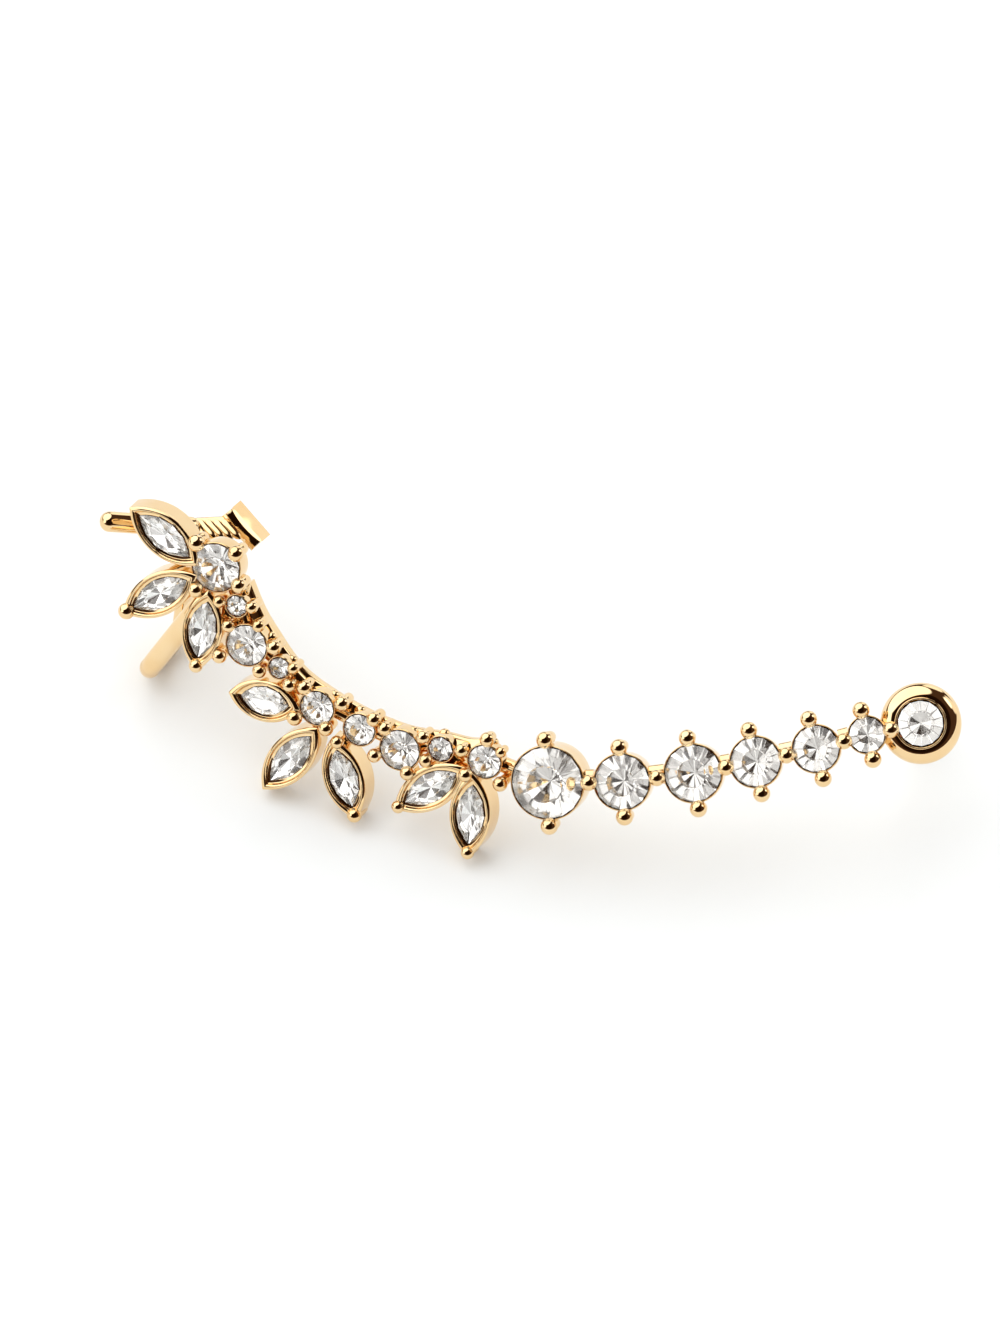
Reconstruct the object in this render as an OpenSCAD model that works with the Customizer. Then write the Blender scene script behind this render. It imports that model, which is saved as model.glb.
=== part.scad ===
// Ear climber: a curved row of round crystals with a leafy cluster at one end and a domed end setting.
// Millimetres. It lies leaning back on a floor at z = 0, on its lowest leaf tip, its wire clip and its post.
// Sizes below are worked out in the jewel's own face frame: x along the row, y up the face, z out of the face.

/* [Lie] */
// Angle between the floor and the face frame
lean_back = 40; // [30:1:50]

/* [Leaf half] */
// Turn of the leaf half's face to the left
leaf_turn = 20.7; // [16:0.1:24]
// Turn of the leaf half's face downward
leaf_dip = 16.8; // [14:0.1:20]
// Thickness of the smooth side wall
wall_t = 0.5; // [0.4:0.05:0.8]
// Drop from the girdles to the top of that wall
wall_top = 0.4; // [0.3:0.05:0.6]

/* [Stones] */
// Clearance between a stone and its seat
seat_gap = 0.04; // [0.02:0.01:0.08]
// Crown height of a stone as a share of its width
crown_share = 0.15; // [0.12:0.01:0.18]
// Depth below the girdle as a share of the width
pavilion_share = 0.4; // [0.35:0.01:0.45]
// Width of a pointed stone
leaf_stone_w = 2; // [1.8:0.05:2.1]

/* [Settings] */
// Metal around a round stone
rim_t = 0.18; // [0.16:0.02:0.26]
// Metal around a pointed stone
bezel_t = 0.26; // [0.2:0.02:0.34]
// Depth of a pointed setting
bezel_depth = 1.5; // [1.3:0.1:2]
// Height of the prong beads' centres over the girdle
bead_lift = 0.1; // [0:0.05:0.2]
// Radius of the prong beads in the plain half
row_bead_r = 0.44; // [0.38:0.02:0.5]

/* [Dome] */
// Radius of the domed end setting
dome_r = 2.45; // [2.3:0.05:2.6]
// Depth of the domed end setting
dome_depth = 1.9; // [1.7:0.1:2.2]

/* [Fastening] */
// Diameter of the clip's wire
wire_d = 1.2; // [1:0.05:1.3]
// Radius of the clip's bend, to the middle of the wire
bend_r = 2.5; // [2.3:0.05:2.6]
// Diameter of the post
post_d = 0.8; // [0.7:0.05:0.9]
// Length of the post behind the dome
post_l = 11.27; // [10:0.01:11.4]

/* [Hidden] */
$fn = 48;
gold = "#e3b663";
crystal = "#e9edf0";
joint_gap = 0.03;

// Where the jewel stands: middle of its outline, and the height of the lowest leaf tip over the floor
mid_x = 3.6;
mid_y = 9.6;
tip_z = 0.946;

// Round stones of the leaf half, in the plane of that half's face: [u, v, diameter]
LEAF_ROW = [
    [-13.45, 17.35, 2.85],
    [-12.45, 15.05, 1.25],
    [-12.1, 12.7, 2.4],
    [-10.25, 11.35, 1.25],
    [-8.2, 8.95, 2],
    [-5.75, 7.65, 1.85],
    [-3.4, 6.45, 2.35],
    [-0.9, 6.5, 1.45],
    [1.7, 5.75, 1.95]
];

// Pointed stones in the same plane: [u, v, angle of the outer tip, length, tip bead's radius or 0 for a bare tip]
LEAVES = [
    [-16.4, 19.25, 138, 4, 0],
    [-17.05, 15.8, 205, 4.1, 0.42],
    [-14.7, 13.65, 254, 3.75, 0.36],
    [-11.35, 9.4, 166, 3.2, 0],
    [-10.15, 5.95, 224, 4.1, 0],
    [-7, 4.75, 281, 3.75, 0.38],
    [-1.75, 4.2, 208, 4.05, 0.34],
    [0.5, 2.6, 260, 3.9, 0.34]
];

// Prong beads of the leaf half, in the same plane: [u, v, radius]
LEAF_BEADS = [
    [-14.45, 18.85, 0.46],
    [-12.1, 18.2, 0.44],
    [-12.15, 16.3, 0.42],
    [-14.8, 16.05, 0.42],
    [-13.45, 15.35, 0.34],
    [-11.5, 15, 0.34],
    [-13.05, 13.9, 0.36],
    [-11.2, 13.9, 0.34],
    [-13.8, 12.1, 0.4],
    [-10.4, 12.6, 0.4],
    [-11.45, 11.2, 0.38],
    [-9.35, 11.35, 0.32],
    [-9.7, 10.35, 0.38],
    [-8.8, 10.2, 0.4],
    [-9.6, 8.4, 0.42],
    [-7.75, 7.75, 0.4],
    [-6.6, 9.25, 0.4],
    [-7.15, 6.95, 0.36],
    [-4.75, 8.3, 0.4],
    [-4.15, 7.75, 0.38],
    [-4.95, 6.15, 0.38],
    [-3.05, 5.1, 0.4],
    [-1.85, 7.25, 0.36],
    [-1.85, 5.85, 0.36],
    [0.4, 6.45, 0.36],
    [0.5, 5, 0.4],
    [2.05, 7.1, 0.4],
    [2.8, 6.35, 0.3],
    [2.55, 4.45, 0.4]
];

// Smooth side wall along the inner curve, in the same plane: [u, v, depth]
WALL = [
    [-12.15, 16.05, 1.9],
    [-11.6, 14.3, 1.9],
    [-10.9, 12.9, 1.9],
    [-9.95, 11.45, 1.7],
    [-8.9, 10.4, 1.5],
    [-7.4, 9.6, 1.3],
    [-5.9, 8.7, 1.3],
    [-4.3, 7.95, 1.3],
    [-2.8, 7.45, 1.3],
    [-0.9, 7.1, 1.3],
    [0.6, 6.6, 1.3],
    [2, 6.6, 1.3]
];

// Round stones of the plain half, in the face frame: [x, y, z, diameter, turn to the left, dip]
PLAIN_ROW = [
    [4.6, 4.3, 2.75, 4.3, 15, 9],
    [8.85, 4.35, 3.6, 3.3, 11, 5],
    [12.9, 4.85, 4.3, 3.4, 9, 3],
    [16.45, 5.5, 4.85, 3, 8, 2],
    [19.9, 6.25, 5.3, 2.8, 7, 1],
    [22.8, 7.05, 5.6, 2.2, 5, 0],
    [25.85, 7.7, 5.8, 2.75, 2, 0]
];
DOME = len(PLAIN_ROW) - 1;
LEAF_PLANE = [0, 0, -0.46];

// The clip: its bend, where its wire meets the cluster, and the grip bar behind the cluster
bend_at = [-16.68, 12.8, -8.2];
bend_dir = 231;
near_angle = 55;
near_leg = 4.9;
bar_tip = [-20.5, 19.25, -4.2];
bar_end = [-15.9, 18.95, -5.9];
grip_at = [-14.95, 18.75, -6.2];
flare_at = [-12.7, 19.05, -6.4];
rib_angle = -49;
rib_count = 6;
rib_pitch = 0.5;

// From the face frame to the floor
module lie() {
    translate([-mid_x, -mid_y, tip_z]) rotate([lean_back, 0, 0]) children();
}

// From the plane of the leaf half's face to the face frame
module on_leaf_face(u = 0, v = 0, spin = 0) {
    translate(LEAF_PLANE) rotate([leaf_dip, -leaf_turn, 0]) translate([u, v, 0]) rotate([0, 0, spin]) children();
}

// From a plain stone's own frame to the face frame
module on_plain_row(i) {
    s = PLAIN_ROW[i];
    translate([s[0], s[1], s[2]]) rotate([s[5], -s[4], 0]) children();
}

// Direction of the row at a plain stone
function row_angle(i) =
    let (a = PLAIN_ROW[max(i - 1, 0)], b = PLAIN_ROW[min(i + 1, DOME)])
    atan2(b[1] - a[1], b[0] - a[0]);

// A point part of the way between two points
function between(a, b, t) = [for (k = [0:2]) a[k] + (b[k] - a[k]) * t];

// A round rod between two points
module rod(a, b, r) {
    d = b - a;
    translate(a) rotate([0, acos(d[2] / norm(d)), atan2(d[1], d[0])]) cylinder(h = norm(d), r = r);
}

// Outline points of the two shapes of stone: k of n points round a circle or a pointed oval
function round_point(k, n, r) = [r * cos(360 * k / n), r * sin(360 * k / n)];

function leaf_arc_r(a, b) = (a * a + b * b) / (2 * b);

function leaf_point(k, n, a, b) =
    let (arc = leaf_arc_r(a, b), half = asin(a / arc), q = k % n, upper = q <= n / 2)
    let (t = upper ? half * (1 - 4 * q / n) : half * (4 * (q - n / 2) / n - 1))
    [arc * sin(t), (upper ? 1 : -1) * (arc * cos(t) - arc + b)];

// A cut stone: table of n corners, a girdle of 2 n corners and a point below.
// The crown has a triangle on each table edge and a kite, split in two, at each table corner.
module cut_stone(table, girdle, crown_h, girdle_h, depth) {
    n = len(table);
    m = 2 * n;
    points = concat(
        [for (p = table) [p[0], p[1], crown_h + girdle_h]],
        [for (p = girdle) [p[0], p[1], girdle_h]],
        [for (p = girdle) [p[0], p[1], 0]],
        [[0, 0, -depth]]
    );
    top = [[for (i = [n - 1:-1:0]) i]];
    stars = [for (i = [0:n - 1]) [i, (i + 1) % n, n + 2 * i + 1]];
    kites_a = [for (i = [0:n - 1]) [i, n + 2 * i + 1, n + 2 * i]];
    kites_b = [for (i = [0:n - 1]) [i, n + 2 * i, n + (2 * i + m - 1) % m]];
    band_a = [for (j = [0:m - 1]) [n + j, n + (j + 1) % m, n + m + j]];
    band_b = [for (j = [0:m - 1]) [n + (j + 1) % m, n + m + (j + 1) % m, n + m + j]];
    below = [for (j = [0:m - 1]) [n + m + j, n + m + (j + 1) % m, n + 2 * m]];
    polyhedron(points, concat(top, stars, kites_a, kites_b, band_a, band_b, below), convexity = 2);
}

module round_stone(d) {
    n = 8;
    color(crystal) cut_stone(
        [for (k = [0:n - 1]) round_point(k, n, 0.29 * d)],
        [for (k = [0:2 * n - 1]) round_point(k, 2 * n, d / 2)],
        crown_share * d, 0.04 * d, pavilion_share * d
    );
}

module leaf_stone(l) {
    n = 8;
    color(crystal) cut_stone(
        [for (k = [0:n - 1]) leaf_point(k, n, 0.28 * l, 0.25 * leaf_stone_w)],
        [for (k = [0:2 * n - 1]) leaf_point(k, 2 * n, l / 2, leaf_stone_w / 2)],
        crown_share * leaf_stone_w, 0.08, pavilion_share * leaf_stone_w
    );
}

// Depth of the cup under a round stone
function cup_depth(d) = pavilion_share * d + 0.35;

// The space that a round stone takes in its cup, closing in over the crown
module round_pocket(d) {
    depth = pavilion_share * d + 0.1;
    top = 0.04 * d + seat_gap;
    translate([0, 0, -depth]) cylinder(h = depth + top, r = d / 2 + seat_gap);
    translate([0, 0, top]) cylinder(h = crown_share * d + 0.6, r1 = d / 2 + seat_gap, r2 = 0.29 * d - 0.15);
}

module cup(d) {
    translate([0, 0, -cup_depth(d)]) cylinder(h = cup_depth(d) - 0.02, r = d / 2 + rim_t);
}

// A prong: its bead at the girdle and its stem down the cup
module prong(r, depth) {
    translate([0, 0, bead_lift]) sphere(r);
    translate([0, 0, -depth]) cylinder(h = depth, r = 0.78 * r);
}

// A prism on a pointed oval of half length a and half width b
module leaf_prism(a, b, h) {
    arc = leaf_arc_r(a, b);
    intersection() {
        translate([0, b - arc, 0]) cylinder(h = h, r = arc, $fn = 96);
        translate([0, arc - b, 0]) cylinder(h = h, r = arc, $fn = 96);
    }
}

module bezel(l, tip_r) {
    a = l / 2 + 2 * bezel_t;
    b = leaf_stone_w / 2 + bezel_t;
    translate([0, 0, -bezel_depth]) leaf_prism(a, b, bezel_depth + 0.14);
    if (tip_r > 0) translate([a - 0.3, 0, 0]) {
        translate([0, 0, 0.02]) sphere(tip_r);
        translate([0, 0, -bezel_depth]) cylinder(h = bezel_depth, r = 0.8 * tip_r);
    }
}

module bezel_pocket(l) {
    floor_z = -pavilion_share * leaf_stone_w - 0.1;
    translate([0, 0, floor_z]) leaf_prism(l / 2 + 2 * seat_gap, leaf_stone_w / 2 + seat_gap, 2);
}

// The smooth side wall: flat stretches with round corners
module side_wall() {
    for (p = WALL)
        on_leaf_face(p[0], p[1]) translate([0, 0, -p[2] - 0.02]) cylinder(h = p[2] - wall_top, d = wall_t + 0.06);
    for (i = [0:len(WALL) - 2]) {
        p = WALL[i];
        d = WALL[i + 1] - p;
        on_leaf_face(p[0], p[1], atan2(d[1], d[0]))
            translate([0, -wall_t / 2, -p[2]]) cube([norm([d[0], d[1]]), wall_t, p[2] - wall_top]);
    }
}

// Cast bridges that join each setting of the leaf half to the next, and each leaf and bead to the row
module bridge(a, b, w, top, depth) {
    d = [b[0] - a[0], b[1] - a[1]];
    on_leaf_face(a[0], a[1], atan2(d[1], d[0])) translate([0, -w / 2, -depth]) cube([norm(d), w, depth - top]);
}

// The round stone that each leaf grows from, and the wall corner that each round stone is cast to
LEAF_ROOT = [0, 0, 2, 3, 4, 5, 7, 8];
WALL_ROOT = [0, 0, 2, 3, 5, 6, 8, 9, 11];

module leaf_half() {
    for (s = LEAF_ROW) on_leaf_face(s[0], s[1]) cup(s[2]);
    for (s = LEAVES) on_leaf_face(s[0], s[1], s[2]) bezel(s[3], s[4]);
    for (b = LEAF_BEADS) on_leaf_face(b[0], b[1]) prong(b[2], 1.2);
    for (i = [0:len(LEAF_ROW) - 2]) bridge(LEAF_ROW[i], LEAF_ROW[i + 1], 1, 0.85 + 0.01 * i, 1.25);
    for (i = [0:len(LEAVES) - 1]) bridge(LEAVES[i], LEAF_ROW[LEAF_ROOT[i]], 0.9, 0.95 + 0.01 * i, 1.4);
    for (i = [0:len(LEAF_ROW) - 1]) bridge(LEAF_ROW[i], WALL[WALL_ROOT[i]], 0.8, 0.8 + 0.01 * i, 1.15);
    side_wall();
}

module plain_half() {
    for (i = [0:DOME - 1]) {
        s = PLAIN_ROW[i];
        on_plain_row(i) {
            cup(s[3]);
            for (side = [-1, 1])
                rotate([0, 0, row_angle(i)]) translate([0, side * (s[3] / 2 + 0.36), 0]) prong(row_bead_r, 1.1);
        }
    }
    for (i = [0:DOME - 1]) {
        a = PLAIN_ROW[i];
        b = PLAIN_ROW[i + 1];
        way = norm([b[0] - a[0], b[1] - a[1], b[2] - a[2]]);
        last = i == DOME - 1;
        t = last ? (a[3] / 2 + 0.3) / way : (way + a[3] / 2 - b[3] / 2) / (2 * way);
        m = between(a, b, t);
        translate(m) rotate([a[5], -a[4], 0]) prong(row_bead_r - 0.02, 0.95);
        rod(between(a, b, 0.3) - [0, 0, 0.95], between(a, b, 0.75) - [0, 0, 0.95], 0.42);
    }
}

// The domed end setting: a ball cut flat above and below, with a rolled edge round the stone
module dome() {
    ring_r = 0.5;
    on_plain_row(DOME) {
        rotate_extrude() translate([dome_r - ring_r - 0.06, 0]) circle(r = ring_r);
        intersection() {
            translate([0, 0, -0.35]) sphere(dome_r, $fn = 96);
            translate([0, 0, -dome_depth]) cylinder(h = dome_depth + 0.1, r = 2 * dome_r);
        }
    }
}

// The clip's legs, one wire length at a time; r is the wire's radius or that of its seat in the frame
function bend_point(angle) =
    bend_at + bend_r * [cos(angle) * cos(bend_dir), cos(angle) * sin(bend_dir), sin(angle)];

near_start = bend_point(near_angle);
near_way = [-sin(near_angle) * cos(bend_dir), -sin(near_angle) * sin(bend_dir), cos(near_angle)];
near_end = near_start + near_leg * near_way;
deep_start = bend_point(-100);

module near_wire(r, past = 0) {
    rod(near_start, near_end + past * near_way, r);
}

module frame() {
    color(gold) lie() difference() {
        union() {
            leaf_half();
            plain_half();
            dome();
            rod([2.2, 5.3, 0.95], [3.2, 4.9, 1.35], 0.5);
        }
        for (s = LEAF_ROW) on_leaf_face(s[0], s[1]) round_pocket(s[2]);
        for (s = LEAVES) on_leaf_face(s[0], s[1], s[2]) bezel_pocket(s[3]);
        for (i = [0:DOME]) on_plain_row(i) round_pocket(PLAIN_ROW[i][3]);
        near_wire(wire_d / 2 + joint_gap, joint_gap);
    }
}

// The ribbed grip and its flared lip
module grip() {
    for (i = [0:rib_count - 1])
        translate(grip_at) translate([(i - (rib_count - 1) / 2) * rib_pitch, 0, 0.3])
            rotate([0, 0, rib_angle]) translate([-1.05, 0, 0]) rotate([0, 90, 0]) cylinder(h = 2.1, r = 0.24);
    translate(grip_at) rotate([0, 0, -2]) translate([-1.6, -0.7, -0.5]) cube([3.6, 1.4, 0.8]);
    translate(flare_at) rotate([0, 0, rib_angle]) difference() {
        translate([-1.35, -0.72, -0.6]) cube([2.7, 1.5, 1.5]);
        translate([-3, 0.1, 2.25]) rotate([0, 90, 0]) cylinder(h = 6, r = 1.7);
        translate([0, -3.05, -2]) cylinder(h = 4, r = 2.6, $fn = 96);
    }
}

module ear_clip() {
    color(gold) lie() {
        near_wire(wire_d / 2);
        sphere_at(near_start);
        translate(bend_at) rotate([0, 0, bend_dir]) rotate([90, 0, 0]) rotate([0, 0, -100])
            rotate_extrude(angle = 100 + near_angle) translate([bend_r, 0]) circle(d = wire_d);
        sphere_at(deep_start);
        rod(deep_start, bar_end, wire_d / 2);
        sphere_at(bar_tip);
        rod(bar_tip, bar_end, wire_d / 2);
        sphere_at(bar_end);
        grip();
    }
}

module sphere_at(p) {
    translate(p) sphere(d = wire_d + 0.02);
}

module ear_post() {
    color(gold) lie() on_plain_row(DOME)
        translate([0, 0, -dome_depth - post_l]) cylinder(h = post_l - joint_gap, d = post_d);
}

module leaf_row_stone(i) {
    lie() on_leaf_face(LEAF_ROW[i][0], LEAF_ROW[i][1]) round_stone(LEAF_ROW[i][2]);
}

module plain_row_stone(i) {
    lie() on_plain_row(i) round_stone(PLAIN_ROW[i][3]);
}

module pointed_stone(i) {
    lie() on_leaf_face(LEAVES[i][0], LEAVES[i][1], LEAVES[i][2]) leaf_stone(LEAVES[i][3]);
}

frame();
ear_clip();
ear_post();
for (i = [0:len(LEAF_ROW) - 1])
    leaf_row_stone(i);
for (i = [0:DOME])
    plain_row_stone(i);
for (i = [0:len(LEAVES) - 1])
    pointed_stone(i);
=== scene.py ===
import bmesh
import bpy
import numpy as np
from mathutils import Matrix, Vector


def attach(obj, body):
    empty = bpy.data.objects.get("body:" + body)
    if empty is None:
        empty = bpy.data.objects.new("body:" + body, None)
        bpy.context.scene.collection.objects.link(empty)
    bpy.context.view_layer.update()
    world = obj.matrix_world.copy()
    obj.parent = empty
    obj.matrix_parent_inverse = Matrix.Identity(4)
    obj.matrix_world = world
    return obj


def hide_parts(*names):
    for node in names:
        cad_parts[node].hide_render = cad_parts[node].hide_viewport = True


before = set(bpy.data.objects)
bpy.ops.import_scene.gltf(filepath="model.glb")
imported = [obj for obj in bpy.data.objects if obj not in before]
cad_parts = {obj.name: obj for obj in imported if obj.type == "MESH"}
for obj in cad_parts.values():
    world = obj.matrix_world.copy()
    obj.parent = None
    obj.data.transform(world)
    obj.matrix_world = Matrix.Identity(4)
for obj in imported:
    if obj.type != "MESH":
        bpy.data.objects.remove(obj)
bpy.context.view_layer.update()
print("loaded the packed climber:", len(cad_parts), "nodes")

# Sizes are in millimetres in the jewel's face frame (x along the row, y up the face, z out of it), and
# fromFace lays them on the floor in metres, the way the solids lie.
lying = {"leanBack": 40, "midX": 3.6, "midY": 9.6, "tipZ": 0.946}
leafFace = {"turn": 20.7, "dip": 16.8, "depth": -0.46}


def turnX(degrees):
    c, s = np.cos(np.radians(degrees)), np.sin(np.radians(degrees))
    return np.array([[1, 0, 0], [0, c, -s], [0, s, c]])


def turnY(degrees):
    c, s = np.cos(np.radians(degrees)), np.sin(np.radians(degrees))
    return np.array([[c, 0, s], [0, 1, 0], [-s, 0, c]])


def turnZ(degrees):
    c, s = np.cos(np.radians(degrees)), np.sin(np.radians(degrees))
    return np.array([[c, -s, 0], [s, c, 0], [0, 0, 1]])


# Face frame to the world: turn about x by the lean, then move, then millimetres to metres.
def fromFace(points):
    moved = points @ turnX(lying["leanBack"]).T + [-lying["midX"], -lying["midY"], lying["tipZ"]]
    return moved * 0.001


# A place is an origin and three axes in the face frame.
def leafPlace(u, v, spin=0):
    tilt = turnY(-leafFace["turn"]) @ turnX(leafFace["dip"])
    return tilt @ np.array([u, v, 0]) + [0, 0, leafFace["depth"]], tilt @ turnZ(spin)


def rowPlace(stone, spin=0):
    x, y, z, _, turn, dip = stone
    return np.array([x, y, z]), turnY(-turn) @ turnX(dip) @ turnZ(spin)


def put(grid, place):
    origin, axes = place
    return grid @ axes.T + origin


# The round stones of the leaf half: u, v in its plane, and diameter.
leafRow = [(-13.45, 17.35, 2.85), (-12.45, 15.05, 1.25), (-12.1, 12.7, 2.4), (-10.25, 11.35, 1.25),
           (-8.2, 8.95, 2), (-5.75, 7.65, 1.85), (-3.4, 6.45, 2.35), (-0.9, 6.5, 1.45), (1.7, 5.75, 1.95)]

# The pointed stones: u, v, angle of the outer tip, length, radius of the bead on the tip.
leaves = [(-16.4, 19.25, 138, 4, 0), (-17.05, 15.8, 205, 4.1, 0.42), (-14.7, 13.65, 254, 3.75, 0.36),
          (-11.35, 9.4, 166, 3.2, 0), (-10.15, 5.95, 224, 4.1, 0), (-7, 4.75, 281, 3.75, 0.38),
          (-1.75, 4.2, 208, 4.05, 0.34), (0.5, 2.6, 260, 3.9, 0.34)]

# The prong beads of the leaf half: u, v, radius.
leafBeads = [(-14.45, 18.85, 0.46), (-12.1, 18.2, 0.44), (-12.15, 16.3, 0.42), (-14.8, 16.05, 0.42),
             (-13.45, 15.35, 0.34), (-11.5, 15, 0.34), (-13.05, 13.9, 0.36), (-11.2, 13.9, 0.34),
             (-13.8, 12.1, 0.4), (-10.4, 12.6, 0.4), (-11.45, 11.2, 0.38), (-9.35, 11.35, 0.32),
             (-9.7, 10.35, 0.38), (-8.8, 10.2, 0.4), (-9.6, 8.4, 0.42), (-7.75, 7.75, 0.4),
             (-6.6, 9.25, 0.4), (-7.15, 6.95, 0.36), (-4.75, 8.3, 0.4), (-4.15, 7.75, 0.38),
             (-4.95, 6.15, 0.38), (-3.05, 5.1, 0.4), (-1.85, 7.25, 0.36), (-1.85, 5.85, 0.36),
             (0.4, 6.45, 0.36), (0.5, 5, 0.4), (2.05, 7.1, 0.4), (2.8, 6.35, 0.3), (2.55, 4.45, 0.4)]

# The plain half: x, y, z of each girdle, diameter, turn to the left, dip. The last one sits in the dome.
plainRow = [(4.6, 4.3, 2.75, 4.3, 15, 9), (8.85, 4.35, 3.6, 3.3, 11, 5), (12.9, 4.85, 4.3, 3.4, 9, 3),
            (16.45, 5.5, 4.85, 3, 8, 2), (19.9, 6.25, 5.3, 2.8, 7, 1), (22.8, 7.05, 5.6, 2.2, 5, 0),
            (25.85, 7.7, 5.8, 2.75, 2, 0)]

# How much smaller than their solids the round stones and cups of each half are drawn, to sit well in
# their rims.
drawnIn = {"plain": 0.16, "leafy": 0.02}


# Materials


def hexColor(text):
    parts = [int(text[i:i + 2], 16) / 255 for i in (1, 3, 5)]
    return tuple(p / 12.92 if p <= 0.04045 else ((p + 0.055) / 1.055) ** 2.4 for p in parts) + (1,)


# Sets what a node needs. Each value belongs to one of its inputs, by name or number, or to one of its
# options; a socket is linked and anything else is set.
def setNode(owner, node, values):
    for key, value in dict(values).items():
        if isinstance(value, bpy.types.NodeSocket):
            owner.node_tree.links.new(value, node.inputs[key])
        elif isinstance(key, int) or key in node.inputs:
            node.inputs[key].default_value = value
        else:
            setattr(node, key, value)


# Adds a node to a material or to the world.
def addNode(owner, kind, values=()):
    node = owner.node_tree.nodes.new(kind)
    setNode(owner, node, values)
    return node


def newMaterial(name):
    material = bpy.data.materials.new(name)
    material.use_nodes = True
    return material, material.node_tree.nodes["Principled BSDF"]


# Yellow gold electroplated on cast and tumbled brass: a bright mirror with a slightly uneven skin, so
# its reflections waver a little, and faint lighter and darker plating. Cloud, waver and grain are sizes
# in millimetres.
plating = {"pale": "#f6dcb2", "deep": "#eac285", "cloud": 2.2, "waver": 0.9, "grain": 0.12,
           "roughness": 0.045, "smoother": 0.6, "rougher": 1.5, "skinStrength": 0.16, "skinDepth": 0.00002}


# A noise whose pattern has the given size in millimetres on the piece itself.
def noise(material, size, detail):
    where = addNode(material, "ShaderNodeTexCoord").outputs["Object"]
    spots = addNode(material, "ShaderNodeTexNoise", {"Scale": 1000 / size, "Detail": detail, "Vector": where})
    return spots.outputs["Fac"]


def goldPlate():
    material, shader = newMaterial("gold plated brass, tumbled")
    tint = addNode(material, "ShaderNodeMix", {"data_type": "RGBA", 0: noise(material, plating["cloud"], 2),
                                               6: hexColor(plating["deep"]), 7: hexColor(plating["pale"])})
    polish = addNode(material, "ShaderNodeMapRange", {"Value": noise(material, plating["grain"], 3),
                                                      "To Min": plating["roughness"] * plating["smoother"],
                                                      "To Max": plating["roughness"] * plating["rougher"]})
    skin = addNode(material, "ShaderNodeBump", {"Height": noise(material, plating["waver"], 1),
                                                "Strength": plating["skinStrength"],
                                                "Distance": plating["skinDepth"]})
    setNode(material, shader, {"Base Color": tint.outputs[2], "Metallic": 1,
                               "Roughness": polish.outputs["Result"], "Normal": skin.outputs["Normal"]})
    return material


# Machine-cut lead-free crystal: clear, heavy glass with crisp flat facets.
def cutCrystal():
    material, shader = newMaterial("machine cut crystal")
    setNode(material, shader, {"Base Color": hexColor("#fdfdfc"), "Roughness": 0, "IOR": 1.56,
                               "Transmission Weight": 1})
    return material


# Silver mirror foil baked on the backs of the stones: it throws the light back out through the crown, a
# little softened. Every other back facet gets a darker copy of the foil: painted shade that stands in for
# the light and dark facets a cut stone shows.
def backFoil(name, tone):
    material, shader = newMaterial(name)
    setNode(material, shader, {"Base Color": hexColor(tone), "Metallic": 1, "Roughness": 0.09})
    return material


gold = goldPlate()
crystal = cutCrystal()
foils = [backFoil("silver mirror foil", "#f8f7f5"), backFoil("silver foil darkened as painted facet shade", "#d2d0ce")]
print("made the gold, crystal and foil materials")


# Surfaces


# The quads of a grid of rows and columns whose last row meets the first.
def gridQuads(rows, columns):
    r, c = np.arange(rows)[:, None], np.arange(columns - 1)[None, :]
    here, after = r * columns + c, (r + 1) % rows * columns + c
    return np.stack([here, after, after + 1, here + 1], -1).reshape(-1, 4)


# Turns a mesh's faces outward. With a merge distance, points that meet become one first and slivers go.
def turnOutward(mesh, merge=0):
    work = bmesh.new()
    work.from_mesh(mesh)
    if merge:
        bmesh.ops.remove_doubles(work, verts=work.verts, dist=merge)
        bmesh.ops.dissolve_degenerate(work, edges=work.edges, dist=merge / 2)
    bmesh.ops.recalc_face_normals(work, faces=work.faces)
    work.to_mesh(mesh)
    work.free()


def addObject(name, data):
    added = bpy.data.objects.new(name, data)
    bpy.context.collection.objects.link(added)
    return added


# Joins grids into one metal piece that dresses a solid; edges over the angle stay sharp.
def metalPiece(name, grids, node, sharp):
    points, quads, start = [], [], 0
    for grid in grids:
        rows, columns = grid.shape[:2]
        points.append(grid.reshape(-1, 3))
        quads.append(gridQuads(rows, columns) + start)
        start += rows * columns
    mesh = bpy.data.meshes.new(name)
    mesh.from_pydata(fromFace(np.concatenate(points)), [], np.concatenate(quads))
    turnOutward(mesh, 2e-7)
    mesh.shade_smooth()
    mesh.set_sharp_from_angle(angle=np.radians(sharp))
    mesh.materials.append(gold)
    piece = addObject(name, mesh)
    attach(piece, "root")
    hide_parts(node)


# Closes a grid's two ends, each on the middle of its own ring.
def closeEnds(grid):
    first = np.repeat(grid[:, :1].mean(0, keepdims=True), len(grid), 0)
    last = np.repeat(grid[:, -1:].mean(0, keepdims=True), len(grid), 0)
    return np.concatenate([first, grid, last], 1)


# A profile line with each inner corner rounded by a short curve from one side of it to the other.
def softCorners(corners, radius, steps=5):
    corners = np.array(corners, float)
    line = [corners[0]]
    t = np.linspace(0, 1, steps)[:, None]
    for before, here, after in zip(corners[:-2], corners[1:-1], corners[2:]):
        back, ahead = before - here, after - here
        backLength, aheadLength = np.linalg.norm(back), np.linalg.norm(ahead)
        a = here + back / backLength * min(radius, backLength * 0.48)
        b = here + ahead / aheadLength * min(radius, aheadLength * 0.48)
        line.extend((1 - t) ** 2 * a + 2 * t * (1 - t) * here + t ** 2 * b)
    line.append(corners[-1])
    return np.array(line)


# A profile of radius and height turned about the axis.
def turned(profile, sides):
    angle = np.linspace(0, 2 * np.pi, sides, endpoint=False)[:, None]
    r, z = profile[:, 0][None, :], profile[:, 1][None, :]
    return np.stack([r * np.cos(angle), r * np.sin(angle), z + 0 * angle], -1)


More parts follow.
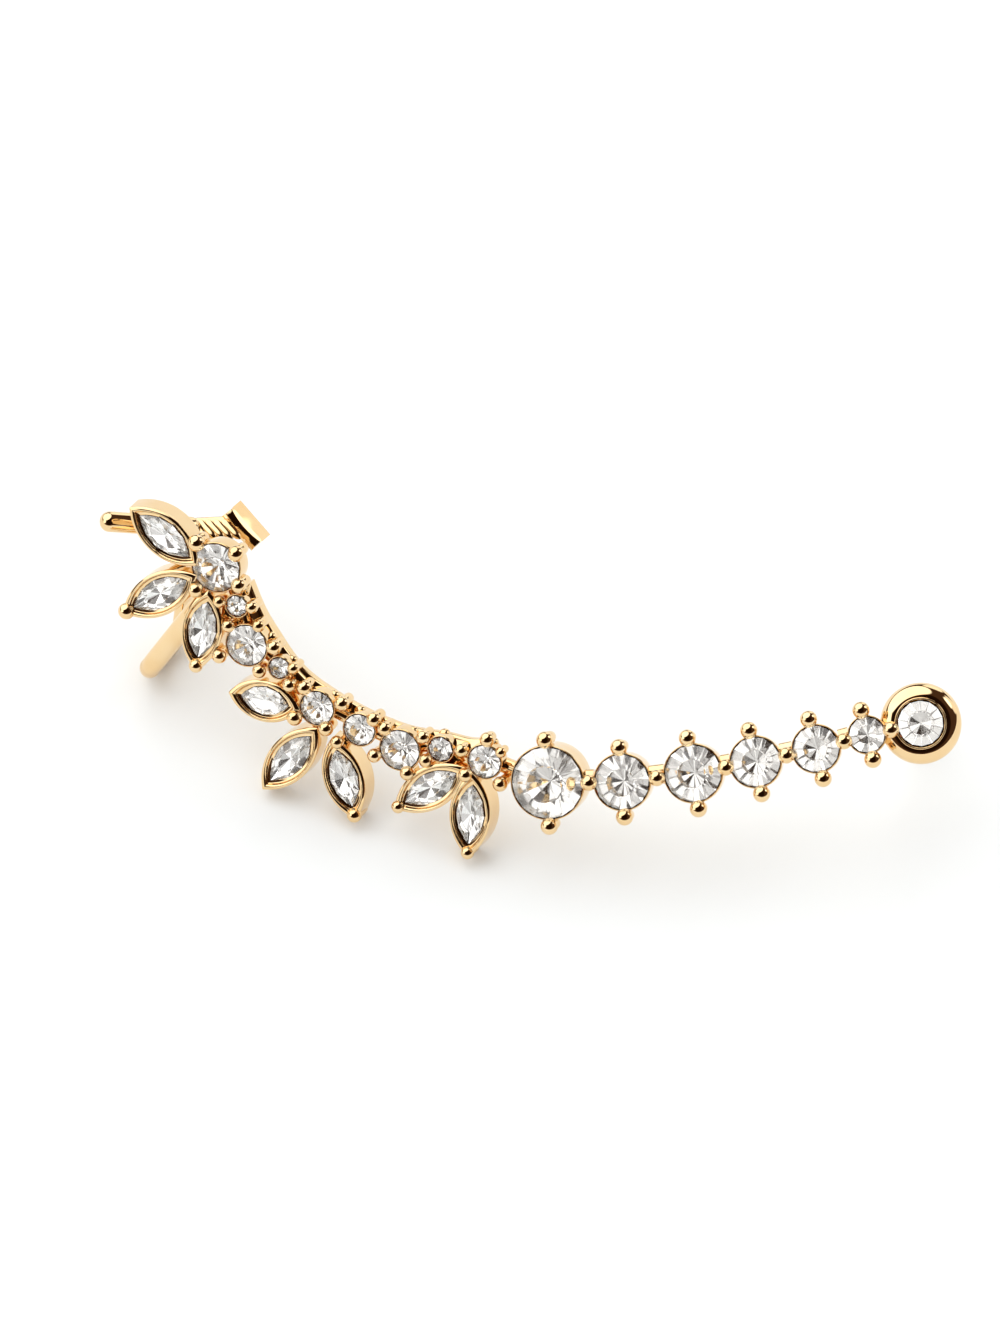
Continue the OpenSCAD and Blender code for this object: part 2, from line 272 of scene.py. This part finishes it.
# The pointed oval: two arcs that meet in tips; x is a cos t and y is the arc's height there. The tips
# are then rounded by averaging each point with its neighbours.
def leafLoop(a, b, sides, rounding=0):
    t = np.linspace(0, 2 * np.pi, sides, endpoint=False)
    arc = (a * a + b * b) / (2 * b)
    x = a * np.cos(t)
    y = np.sign(np.sin(t)) * (np.sqrt(np.maximum(arc * arc - x * x, 0)) - arc + b)
    loop = np.stack([x, y], -1)
    for _ in range(rounding):
        loop = (np.roll(loop, 1, 0) + 2 * loop + np.roll(loop, -1, 0)) / 4
    return loop


# A profile of offset and height carried round a pointed oval; offset grows the oval, twice as fast at
# its tips.
def leafShell(profile, length, width, sides, rounding):
    rings = []
    for offset, z in profile:
        loop = leafLoop(length / 2 + 2 * offset, width / 2 + offset, sides, rounding)
        rings.append(np.column_stack([loop, np.full(sides, z)]))
    return closeEnds(np.stack(rings, 1))


# A closed outline carried along a path, across it at each step, and closed at the path's two ends. The
# outline's second axis stays as near as may be to the given direction, and scale sizes it step by step.
def swept(path, outline, up, scale):
    ahead = np.gradient(path, axis=0)
    ahead /= np.linalg.norm(ahead, axis=1)[:, None]
    side = np.cross(ahead, np.broadcast_to(up, path.shape))
    side /= np.linalg.norm(side, axis=1)[:, None]
    over = np.cross(side, ahead)
    size = scale[None, :, None]
    grid = (path[None] + outline[:, 0][:, None, None] * side[None] * size
            + outline[:, 1][:, None, None] * over[None] * size)
    first = np.repeat(path[:1][None], len(outline), 0)
    last = np.repeat(path[-1:][None], len(outline), 0)
    return np.concatenate([first, grid, last], 1)


def circleLine(radius, sides):
    t = np.linspace(0, 2 * np.pi, sides, endpoint=False)
    return radius * np.stack([np.cos(t), np.sin(t)], -1)


# A round wire along a path. A round end falls like a half circle over the last stretch.
def wire(path, radius, sides, roundEnds=True):
    steps = np.linspace(1, 0, 9)[:-1]
    fall, drop = np.sqrt(np.maximum(1 - steps ** 2, 0)), steps[:, None] * radius
    size = np.ones(len(path))
    if roundEnds:
        start = path[0] - (path[1] - path[0]) / np.linalg.norm(path[1] - path[0]) * drop
        end = path[-1] + (path[-1] - path[-2]) / np.linalg.norm(path[-1] - path[-2]) * drop[::-1]
        path = np.concatenate([start, path, end])
        size = np.concatenate([fall, size, fall[::-1]])
    return swept(path, circleLine(radius, sides), np.array([0.31, 0.17, 0.93]), np.maximum(size, 0.02))


# A smooth line through a few points: each stretch is a cubic whose slopes come from the neighbours.
def throughPoints(points, steps):
    p = np.array(points, float)
    p = np.concatenate([[2 * p[0] - p[1]], p, [2 * p[-1] - p[-2]]])
    t = np.linspace(0, 1, steps, endpoint=False)[:, None]
    stretches = [0.5 * (2 * b + (c - a) * t + (2 * a - 5 * b + 4 * c - d) * t ** 2
                        + (3 * b - a - 3 * c + d) * t ** 3)
                 for a, b, c, d in zip(p[:-3], p[1:-2], p[2:-1], p[3:])]
    return np.concatenate(stretches + [p[-2:-1]])


# The soldered settings


cup = {"rim": 0.12, "sides": 56, "depthShare": 0.4, "under": 0.33}


# A round cup: floor, seat, a thin rounded rim at the stone's edge, and a wall that draws in towards its
# foot.
def roundCup(diameter, smaller):
    r = (diameter - smaller) / 2
    depth = cup["depthShare"] * diameter + cup["under"]
    corners = [(0, -depth + 0.16), (0.3 * r, -depth + 0.2), (r + 0.01, -0.3), (r + 0.035, 0.02),
               (r + 0.07, 0.07), (r + cup["rim"], 0), (r + cup["rim"] - 0.02, -0.5 * depth),
               (r + 0.06, -0.9 * depth), (r - 0.2, -depth), (0, -depth)]
    return turned(softCorners(corners, 0.05), cup["sides"])


bead = {"lift": 0.12, "neck": 0.76, "foot": 0.7, "sides": 32, "widthShare": 1.1, "stem": 1.05,
        "joinStem": 0.6, "joins": (26, 27)}
tipBead = {"beyond": 0.34, "widthShare": 1.15, "stemShorter": 0.2}
rowBead = {"radius": 0.5, "beyond": 0.34, "stem": 1.1, "linkRadius": 0.48, "linkStem": 0.95,
           "domeBeyond": 0.3}


# A prong: a ball on a stem that widens to its foot.
def prong(radius, depth):
    t = np.radians(np.linspace(90, -42, 18))
    ball = np.stack([radius * np.cos(t), bead["lift"] + radius * np.sin(t)], -1)
    ball[0, 0] = 0
    neck, foot = bead["neck"] * radius, bead["foot"] * radius
    stem = [(neck, -0.45 * radius), (neck, -0.75 * depth), (foot, -depth), (0, -depth)]
    return turned(np.concatenate([ball, stem]), bead["sides"])


bezel = {"outer": 0.27, "depth": 1.48, "sides": 120, "rounding": 4, "width": 1.9, "brim": 0.22}


# A pointed bezel: floor, seat, a flat ledge round the stone's edge, a rounded brim and an upright outer
# wall.
def leafBezel(length):
    outer, brim, low = bezel["outer"], bezel["brim"], -bezel["depth"]
    corners = [(-0.5, -0.95), (-0.14, -0.35), (-0.12, -0.03), (0.05, 0.0), (0.09, brim - 0.05),
               (0.16, brim + 0.02), (outer + 0.03, brim - 0.07), (outer + 0.03, -0.25),
               (outer + 0.05, low + 0.1), (outer - 0.03, low), (-0.3, low)]
    return leafShell(softCorners(corners, 0.045), length, bezel["width"], bezel["sides"], bezel["rounding"])


# The leaf half's prongs; the two at the join with the plain half have short stems, as nothing stands
# below them.
def leafProngs():
    prongs = []
    for k, (u, v, radius) in enumerate(leafBeads):
        depth = bead["joinStem"] if k in bead["joins"] else bead["stem"]
        prongs.append(put(prong(radius * bead["widthShare"], depth), leafPlace(u, v)))
    return prongs


# The beads on the outer tips of the pointed settings, upright in the leaf half's plane.
def tipProngs():
    prongs = []
    for u, v, angle, length, radius in leaves:
        if radius:
            tip = put(np.array([length / 2 + tipBead["beyond"], 0, 0]), leafPlace(u, v, angle))
            upright = prong(radius * tipBead["widthShare"], bezel["depth"] - tipBead["stemShorter"])
            prongs.append(put(upright, (tip, leafPlace(0, 0)[1])))
    return prongs


# The plain half's prongs: two across the row on each cup, and one in the middle of the gap to the next
# cup, or just past the last cup where the dome follows.
def rowProngs():
    prongs = []
    for i, s in enumerate(plainRow[:-1]):
        before, after = plainRow[max(i - 1, 0)], plainRow[i + 1]
        along = np.degrees(np.arctan2(after[1] - before[1], after[0] - before[0]))
        origin, axes = rowPlace(s, along)
        for side in (-1, 1):
            root = origin + axes @ [0, side * (s[3] / 2 + rowBead["beyond"]), 0]
            prongs.append(put(prong(rowBead["radius"], rowBead["stem"]), (root, axes)))
        a, b = np.array(s[:3]), np.array(after[:3])
        way = np.linalg.norm(b - a)
        share = (way + s[3] / 2 - after[3] / 2) / (2 * way)
        if i == len(plainRow) - 2:
            share = (s[3] / 2 + rowBead["domeBeyond"]) / way
        link = prong(rowBead["linkRadius"], rowBead["linkStem"])
        prongs.append(put(link, (a + (b - a) * share, rowPlace(s)[1])))
    return prongs


cups = [put(roundCup(s[2], drawnIn["leafy"]), leafPlace(s[0], s[1])) for s in leafRow]
cups += [put(roundCup(s[3], drawnIn["plain"]), rowPlace(s)) for s in plainRow[:-1]]
bezels = [put(leafBezel(s[3]), leafPlace(s[0], s[1], s[2])) for s in leaves]
beads = leafProngs() + tipProngs() + rowProngs()
metalPiece("round_cups", cups, "frame", 50)
metalPiece("leaf_bezels", bezels, "frame", 50)
metalPiece("prong_beads", beads, "frame", 50)
print("made", len(cups), "cups,", len(bezels), "bezels and", len(beads), "prongs")

# The line holds u, v and the depth of the wall's foot.
wall = {"outward": 0.25, "inward": 0.34, "top": 0.5, "steps": 8,
        "line": [(-12.15, 16.05, 1.9), (-11.6, 14.3, 1.9), (-10.9, 12.9, 1.9), (-9.95, 11.45, 1.7),
                 (-8.9, 10.4, 1.5), (-7.4, 9.4, 1.3), (-5.9, 8.5, 1.3), (-4.3, 7.75, 1.3), (-2.8, 7.25, 1.3),
                 (-0.9, 6.95, 1.3), (0.6, 6.6, 1.3), (2, 6.6, 1.3)]}


# The smooth side wall: an upright strip along the line, with round edges and a top that slopes outward.
# Its section is offset across the line and share of the way down to the foot.
def sideWall():
    line = throughPoints(wall["line"], wall["steps"])
    ahead = np.gradient(line[:, :2], axis=0)
    across = np.stack([-ahead[:, 1], ahead[:, 0]], -1) / np.linalg.norm(ahead, axis=1)[:, None]
    a, b = wall["outward"], -wall["inward"]
    corners = [(0, 0.3), (a - 0.03, 0.42), (a, 0.55), (a, 1), (0, 1), (b, 1), (b, 0.5), (b, 0.02), (0, 0.3)]
    outline = softCorners(corners, 0.1)[:-1]
    offset, share = outline[:, 0][:, None], outline[:, 1][:, None]
    u = line[:, 0] + offset * across[:, 0]
    v = line[:, 1] + offset * across[:, 1]
    z = -wall["top"] - share * (line[:, 2] - wall["top"])
    return put(closeEnds(np.stack([u, v, z], -1)), leafPlace(0, 0))


# Bridges and webs are the cast metal between the settings. leafRoot gives each pointed setting its
# round stone, and wallRoot gives each round stone its point on the wall's line.
bridge = {"radius": 0.42, "wallRadius": 0.36, "sink": 0.86, "drawn": 0.42,
          "leafRoot": [0, 0, 2, 3, 4, 5, 7, 8], "wallRoot": [0, 0, 2, 3, 5, 6, 8, 9, 11]}
rowBridge = {"from": 0.3, "to": 0.75, "radius": 0.4, "sink": 0.92}
joinBridge = {"from": (2.2, 5.3, 0.95), "to": (3.2, 4.9, 1.35), "radius": 0.48}
web = {"radius": 0.4, "reach": 0.49, "offset": (0, 0.36, -0.72)}


# A cast bridge: a short thick wire that runs from one place towards the next, drawn in at each end.
def castBridge(a, b, drawA, drawB, radius):
    a, b = np.array([a[0], a[1], -bridge["sink"]]), np.array([b[0], b[1], -bridge["sink"]])
    way = (b - a) / np.linalg.norm(b - a)
    return put(wire(np.linspace(a + way * drawA, b - way * drawB, 6), radius, 16), leafPlace(0, 0))


# The inner tip of a pointed setting, where it grows out of the row.
def leafHeel(leaf):
    angle = np.radians(leaf[2])
    return leaf[0] - np.cos(angle) * leaf[3] * 0.5, leaf[1] - np.sin(angle) * leaf[3] * 0.5


def leafBridges():
    drawn = [bridge["drawn"] * s[2] for s in leafRow]
    bridges = [castBridge(leafRow[k], leafRow[k + 1], drawn[k], drawn[k + 1], bridge["radius"])
               for k in range(len(leafRow) - 1)]
    bridges += [castBridge(leafHeel(s), leafRow[k], 0, drawn[k], bridge["radius"])
                for s, k in zip(leaves, bridge["leafRoot"])]
    bridges += [castBridge(s, wall["line"][k], inner, 0, bridge["wallRadius"])
                for s, inner, k in zip(leafRow, drawn, bridge["wallRoot"])]
    return bridges


# The plain half's bridges, low between neighbours, and the open-ended webs seen behind its prongs.
def rowBridges():
    bridges, webs = [], []
    for c, d in zip(plainRow[:-1], plainRow[1:]):
        a, b = np.array(c[:3]), np.array(d[:3])
        low = np.linspace(a + (b - a) * rowBridge["from"], a + (b - a) * rowBridge["to"], 6)
        bridges.append(wire(low - [0, 0, rowBridge["sink"]], rowBridge["radius"], 20))
        way = (b - a) / np.linalg.norm(b - a)
        reach = np.linspace(a + way * (c[3] * web["reach"]), b - way * (d[3] * web["reach"]), 6)
        webs.append(wire(reach + web["offset"], web["radius"], 24, False))
    join = np.linspace(joinBridge["from"], joinBridge["to"], 4)
    return bridges + [wire(join, joinBridge["radius"], 20)] + webs


metalPiece("side_wall", [sideWall()] + leafBridges() + rowBridges(), "frame", 60)

dome = {"radius": 2.33, "depth": 1.88, "widest": -0.9, "sides": 96, "stone": 1.33, "crest": 0.04}


# The domed end: a thin rim round the stone, then one shoulder that falls away like a ball to its widest
# line and turns in to the flat back. Shoulder and belly are each a part of an ellipse.
def domeSetting():
    r, wide, low = dome["stone"], dome["radius"], dome["widest"]
    rim = softCorners([(0, -1.2), (r * 0.7, -1.1), (r - 0.01, -0.25), (r + 0.02, 0.02), (r + 0.07, 0.1),
                       (r + 0.15, 0.09), (r + 0.18, 0.0)], 0.035)
    t = np.radians(np.linspace(8, 90, 36))
    start = r + 0.06
    shoulder = np.stack([start + (wide - start) * np.sin(t), low + (dome["crest"] - low) * np.cos(t)], -1)
    t = np.radians(np.linspace(-4, -40, 12))
    under = (dome["depth"] + low) / np.sin(np.radians(40))
    belly = np.stack([wide * np.cos(t) ** 0.8, low + under * np.sin(t)], -1)
    back = np.array([(1.7, -dome["depth"]), (0, -dome["depth"])])
    return turned(np.concatenate([rim, shoulder, belly, back]), dome["sides"])


metalPiece("dome_setting", [put(domeSetting(), rowPlace(plainRow[-1]))], "frame", 50)
print("made the side wall, the bridges and the dome")


# The ear clip and the post


clip = {"wire": 1.2, "sides": 32, "bendAt": (-16.68, 12.8, -8.2), "bendRadius": 2.5, "bendTowards": 231,
        "nearAngle": 55, "farAngle": -100, "nearLeg": 4.9,
        "rise": [(-16.25, 14.4, -10.15), (-16.02, 16.6, -8.35)],
        "barTip": (-20.5, 19.25, -4.2), "barEnd": (-15.9, 18.95, -5.9)}


# A point of the bend, a part circle upright over the direction that the bend faces.
def bendPoint(angle):
    angle, towards = np.radians(angle), np.radians(clip["bendTowards"])
    out = np.stack([np.cos(angle) * np.cos(towards), np.cos(angle) * np.sin(towards), np.sin(angle)], -1)
    return np.array(clip["bendAt"]) + clip["bendRadius"] * out


# The clip's wire: out of the cluster's back, round the bend, and back up to the grip bar.
def clipWire():
    near, towards = np.radians(clip["nearAngle"]), np.radians(clip["bendTowards"])
    way = np.array([-np.sin(near) * np.cos(towards), -np.sin(near) * np.sin(towards), np.cos(near)])
    corner = bendPoint(clip["nearAngle"])
    leg = np.linspace(corner + clip["nearLeg"] * way, corner, 8)[:-1]
    arc = bendPoint(np.linspace(clip["nearAngle"], clip["farAngle"], 40))
    rise = throughPoints([arc[-1], *clip["rise"], clip["barEnd"]], 8)[1:]
    return wire(np.concatenate([leg, arc, rise]), clip["wire"] / 2, clip["sides"])


def clipBar():
    return wire(np.linspace(clip["barTip"], clip["barEnd"], 12), clip["wire"] / 2, clip["sides"])


# The plate runs from one offset of the grip's place to the other; ribs slant across it at their own
# angle.
grip = {"at": (-14.95, 18.75, -6.2), "plateFrom": (-1.5, 0.05, -0.15), "plateTo": (1.6, 0.2, -0.3),
        "halfWidth": 0.62, "halfThick": 0.3, "ribs": 7, "pitch": 0.46, "shift": 0.015, "ribLift": 0.2,
        "ribAngle": -49, "ribHalf": 0.8, "ribSize": (0.23, 0.11), "tip": -20}

# The lip's section is across and out of the face; its crest is the flat top, which bows.
lip = {"at": (-12.7, 19.05, -6.4), "halfLength": 1.3, "bow": 0.2, "sag": 0.07, "bowAt": -0.2, "bowReach": 0.7,
       "crestShorter": 0.05, "cornerDrop": 0.1,
       "section": [(-0.72, -0.5), (-0.76, 0), (-0.7, 0.15), (-0.52, 0.26), (-0.3, 0.28), (-0.12, 0.26),
                   (0.1, 0.08), (0.66, -0.48), (0.72, -0.54), (0.66, -0.6), (0, -0.6), (-0.72, -0.5)]}


# The flared lip: a closed section carried straight along s. It has a flat crest and then falls away in
# a broad outer face; the crest bows towards the ribs at mid-length and drops a little at the corners.
def flaredLip():
    s = np.linspace(-1, 1, 25)[None]
    section = softCorners(lip["section"], 0.05, 6)[:-1]
    t, h = section[:, 0][:, None], section[:, 1][:, None]
    crest = np.clip(1 - np.abs(t - lip["bowAt"]) / lip["bowReach"], 0, 1)
    length = s * (lip["halfLength"] - lip["crestShorter"] * (h > 0.2))
    width = t + (lip["bow"] * s ** 2 - lip["sag"]) * crest
    height = h - lip["cornerDrop"] * s ** 4 * (h > -0.3)
    grid = np.stack([length, width, height], -1)
    return put(closeEnds(grid), (np.array(lip["at"]), turnZ(grip["ribAngle"])))


# The grip: a flat plate tipped back a little, with low flat ribs slanting across it.
def gripPlate():
    w, h = grip["halfWidth"], grip["halfThick"]
    outline = softCorners([(0, -h), (w, -h), (w, h), (0, h), (-w, h), (-w, -h), (0, -h)], 0.14)[:-1]
    base = np.array(grip["at"])
    path = np.linspace(base + grip["plateFrom"], base + grip["plateTo"], 8)
    return swept(path, outline, np.array([0, 0.34, 0.94]), np.ones(8))


def gripRibs():
    ribs = []
    half = turnZ(grip["ribAngle"]) @ [grip["ribHalf"], 0, 0]
    ends = np.sqrt(np.clip(1.02 - np.linspace(-1, 1, 10) ** 4, 0.02, 1))
    for i in range(grip["ribs"]):
        middle = np.array([(i - (grip["ribs"] - 1) / 2) * grip["pitch"] + grip["shift"], 0, grip["ribLift"]])
        line = np.linspace(middle - half, middle + half, 10)
        rib = swept(line, circleLine(1, 20) * grip["ribSize"], np.array([0, 0, 1.0]), ends)
        ribs.append(put(rib, (np.array(grip["at"]), turnX(grip["tip"]))))
    return ribs


post = {"radius": 0.4, "length": 11.24, "sides": 32, "seat": 0.02}


# A plain post: a straight round pin with a softly rounded end, just clear of the dome's back.
def postPin():
    r, top, low = post["radius"], -dome["depth"] - 0.05, -dome["depth"] - post["seat"] - post["length"]
    return turned(softCorners([(0, low), (r, low), (r, top), (0, top)], 0.16, 8), post["sides"])


metalPiece("wire_clip", [clipWire(), clipBar(), gripPlate(), flaredLip()] + gripRibs(), "ear_clip", 50)
metalPiece("post_pin", [put(postPin(), rowPlace(plainRow[-1]))], "ear_post", 50)
print("made the clip and the post")


# The stones


# Shares of the diameter, but edge and edgeDrop: inside its polished edge the table is flat over that share
# of its width, and the polished edge falls by that share of the crown's height. Each of the facet counts
# holds for stones over its diameter. Each stone is turned some degrees further than the last, so that
# they don't all sparkle alike.
cut = {"table": 0.54, "crown": 0.17, "girdle": 0.016, "pavilion": 0.4, "edge": 0.94, "edgeDrop": 0.12,
       "counts": ((3.5, 16), (2.2, 14), (1.5, 12), (0, 8)), "leafyTurn": 11, "plainTurn": 7}

# Shares of the stone's length or width, but width, shorter and girdle, which are sizes.
leafCut = {"corners": 12, "table": 0.56, "crown": 0.187, "pavilion": 0.16, "girdle": 0.05, "width": 1.7,
           "shorter": 0.34}


# A cut stone: a table of n corners with a narrow polished edge round it, n sloping crown facets from
# its corners straight down to the girdle's, a thin girdle band and a fan of n facets to the point. Band
# and fan are foiled.
def stonePiece(name, node, table, girdle, heights, place):
    n, i = len(table), np.arange(len(table))
    top, thick, deep = heights
    rings = [(table, top * (1 - cut["edgeDrop"]) + thick), (girdle, thick), (girdle, 0),
             (table * cut["edge"], top + thick)]
    points = np.concatenate([np.column_stack([ring, np.full(n, z)]) for ring, z in rings] + [[[0, 0, -deep]]])
    after, upper, lower, flat, point = (i + 1) % n, n, 2 * n, 3 * n, 4 * n
    crown = np.stack([i, upper + i, upper + after, after], -1)
    edge = np.stack([flat + i, i, after, flat + after], -1)
    band = np.stack([upper + i, lower + i, lower + after, upper + after], -1)
    fan = np.stack([lower + after, lower + i, np.full(n, point)], -1)
    faces = [list(range(flat, point))] + np.concatenate([crown, edge, band]).tolist() + fan.tolist()
    slots = np.zeros(len(faces), int)
    slots[-2 * n:-n] = 1
    # Every other fan facet takes the darker foil: painted shade for alternating light and dark facets.
    slots[-n:] = 1 + i % 2
    mesh = bpy.data.meshes.new(name)
    mesh.from_pydata(fromFace(put(points, place)), [], faces)
    for material in [crystal] + foils:
        mesh.materials.append(material)
    mesh.polygons.foreach_set("material_index", slots)
    turnOutward(mesh)
    piece = addObject(name, mesh)
    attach(piece, "root")
    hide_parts(node)


def roundCrystal(number, diameter, place):
    n = next(count for least, count in cut["counts"] if diameter > least)
    heights = (cut["crown"] * diameter, cut["girdle"] * diameter, cut["pavilion"] * diameter)
    table, girdle = circleLine(cut["table"] * diameter / 2, n), circleLine(diameter / 2, n)
    stonePiece(f"crystal_{number}", f"stone_{number}", table, girdle, heights, place)


def leafCrystal(number, length, place):
    n, w, share = leafCut["corners"], leafCut["width"], leafCut["table"]
    heights = (leafCut["crown"] * w, leafCut["girdle"], leafCut["pavilion"] * w)
    table, girdle = leafLoop(share * length / 2, share * w / 2, n), leafLoop(length / 2, w / 2, n)
    stonePiece(f"leaf_crystal_{number}", f"leaf_stone_{number}", table, girdle, heights, place)


for k, s in enumerate(leafRow):
    roundCrystal(k + 1, s[2] - drawnIn["leafy"], leafPlace(s[0], s[1], cut["leafyTurn"] * k))
for k, s in enumerate(plainRow):
    roundCrystal(len(leafRow) + k + 1, s[3] - drawnIn["plain"], rowPlace(s, cut["plainTurn"] * k))
for k, s in enumerate(leaves):
    leafCrystal(k + 1, s[3] - leafCut["shorter"], leafPlace(s[0], s[1], s[2]))
print("cut", len(leafRow) + len(plainRow), "round and", len(leaves), "pointed crystals")


# Floor, light and camera


# Ways are directions in the world, and angles are in degrees round them.
studio = {"floor": "#f1f3f3", "floorSize": 3, "strength": 1.28, "cove": 0.06, "tent": 0.07, "fill": 0.6,
          "shade": "#d88a48", "shadeBelow": 0.4,
          "opening": 0.015, "openingWay": (0, -0.643, 0.766), "openingAngles": (42, 34),
          "patches": 5, "patchChance": (0.3, 0.46), "patchBright": (0.04, 1.95),
          "front": 0.5, "frontWay": (0.12, -0.92, 0.36), "frontCosines": (0.84, 0.92)}

# Soft panels round the set: way, half angle in degrees, brightness. Between them the room is dim.
panels = {"overhead": ((-0.45, 0.4, 0.79), 41, 1.5), "left": ((-0.85, -0.25, 0.4), 18, 1.4),
          "back": ((0.3, 0.9, 0.3), 14, 1.1), "side": ((0.85, 0.45, 0.3), 16, 0.9),
          "corner": ((0.76, 0.3, 0.57), 10, 1.8)}


def studioFloor():
    corners = np.array([[-0.5, -0.5, 0], [0.5, -0.5, 0], [0.5, 0.5, 0], [-0.5, 0.5, 0]]) * studio["floorSize"]
    mesh = bpy.data.meshes.new("floor")
    mesh.from_pydata(corners, [], [[0, 1, 2, 3]])
    material, shader = newMaterial("matt white studio paper")
    setNode(material, shader, {"Base Color": hexColor(studio["floor"]), "Roughness": 0.75,
                               "Specular IOR Level": 0.2})
    mesh.materials.append(material)
    floor = addObject("floor", mesh)


# The picture's middle and height are in the face frame's millimetres, and the camera looks straight at
# the face.
view = {"middle": (1.886, 10.943, 1.5), "distance": 1500, "height": 76.17, "sensor": 36}


def camera():
    data = bpy.data.cameras.new("camera")
    data.sensor_fit = "VERTICAL"
    data.sensor_height = view["sensor"]
    data.lens = view["sensor"] * view["distance"] / view["height"]
    data.clip_start = 0.1
    target = Vector(fromFace(np.array(view["middle"])))
    spot = Vector(fromFace(np.array(view["middle"]) + [0, 0, view["distance"]]))
    aim = (target - spot).to_track_quat("-Z", "Y").to_matrix().to_4x4()
    shot = addObject("camera", data)
    shot.matrix_world = Matrix.Translation(spot) @ aim
    bpy.context.scene.camera = shot


def combined(world, operation, a, b):
    return addNode(world, "ShaderNodeMath", {"operation": operation, 0: a, 1: b}).outputs["Value"]


def mapped(world, value, limits, ends):
    values = {"Value": value, "From Min": limits[0], "From Max": limits[1],
              "To Min": ends[0], "To Max": ends[1]}
    return addNode(world, "ShaderNodeMapRange", values).outputs["Result"]


# The cosine of the angle between where a ray goes and a way in the world.
def cosineTo(world, where, way):
    return addNode(world, "ShaderNodeVectorMath", {"operation": "DOT_PRODUCT", 0: where,
                                                   1: Vector(way).normalized()}).outputs["Value"]


# The room round the set. Low down the paper sweeps up in a white cove all round, and the camera itself
# sees plain white. Above that hangs a dim tent with soft-edged discs of light, and a dark opening where
# the set is seen from. Paper and other dull things get an even fill. Light that has come through a
# stone meets bright and dark patches, as the many things round a real set would give it, and they are
# weaker in front. Weak light is warm.
def room():
    world = bpy.data.worlds.new("room")
    world.use_nodes = True
    bpy.context.scene.world = world
    where = addNode(world, "ShaderNodeTexCoord").outputs["Generated"]
    rays = addNode(world, "ShaderNodeLightPath").outputs

    height = addNode(world, "ShaderNodeSeparateXYZ", {"Vector": where}).outputs["Z"]
    cove = combined(world, "LESS_THAN", height, studio["cove"])
    white = combined(world, "MAXIMUM", cove, rays["Is Camera Ray"])

    ahead = cosineTo(world, where, studio["frontWay"])
    front = mapped(world, ahead, studio["frontCosines"], (1, studio["front"]))
    cells = addNode(world, "ShaderNodeTexVoronoi", {"Scale": studio["patches"], "Vector": where})
    chance = addNode(world, "ShaderNodeSeparateColor", {"Color": cells.outputs["Color"]}).outputs["Red"]
    patch = mapped(world, chance, studio["patchChance"], studio["patchBright"])
    throughStone = combined(world, "MULTIPLY", patch, front)

    towards, edges = cosineTo(world, where, studio["openingWay"]), np.cos(np.radians(studio["openingAngles"]))
    opening = mapped(world, towards, edges, (studio["tent"], studio["opening"]))
    tent = mapped(world, rays["Is Diffuse Ray"], (0, 1), (opening, studio["fill"]))
    tent = mapped(world, rays["Is Transmission Ray"], (0, 1), (tent, throughStone))

    glow = combined(world, "MAXIMUM", white, tent)
    for way, reach, bright in panels.values():
        edge = np.cos(np.radians((reach + 3, reach - 1)))
        glow = combined(world, "MAXIMUM", glow, mapped(world, cosineTo(world, where, way), edge, (0, bright)))

    warmth = mapped(world, glow, (0, studio["shadeBelow"]), (0, 1))
    colour = addNode(world, "ShaderNodeMix", {"data_type": "RGBA", 0: warmth, 6: hexColor(studio["shade"]),
                                              7: (1, 1, 1, 1)}).outputs[2]
    setNode(world, world.node_tree.nodes["Background"],
            {"Color": colour, "Strength": combined(world, "MULTIPLY", glow, studio["strength"])})


studioFloor()
room()
camera()
scene = bpy.context.scene
scene.view_settings.view_transform = "Standard"
scene.view_settings.look = "None"
scene.cycles.max_bounces = 20  # light crosses a cut stone many times before it leaves
scene.cycles.glossy_bounces = 16
scene.cycles.transmission_bounces = 16
print("set the floor, the lights and the camera")
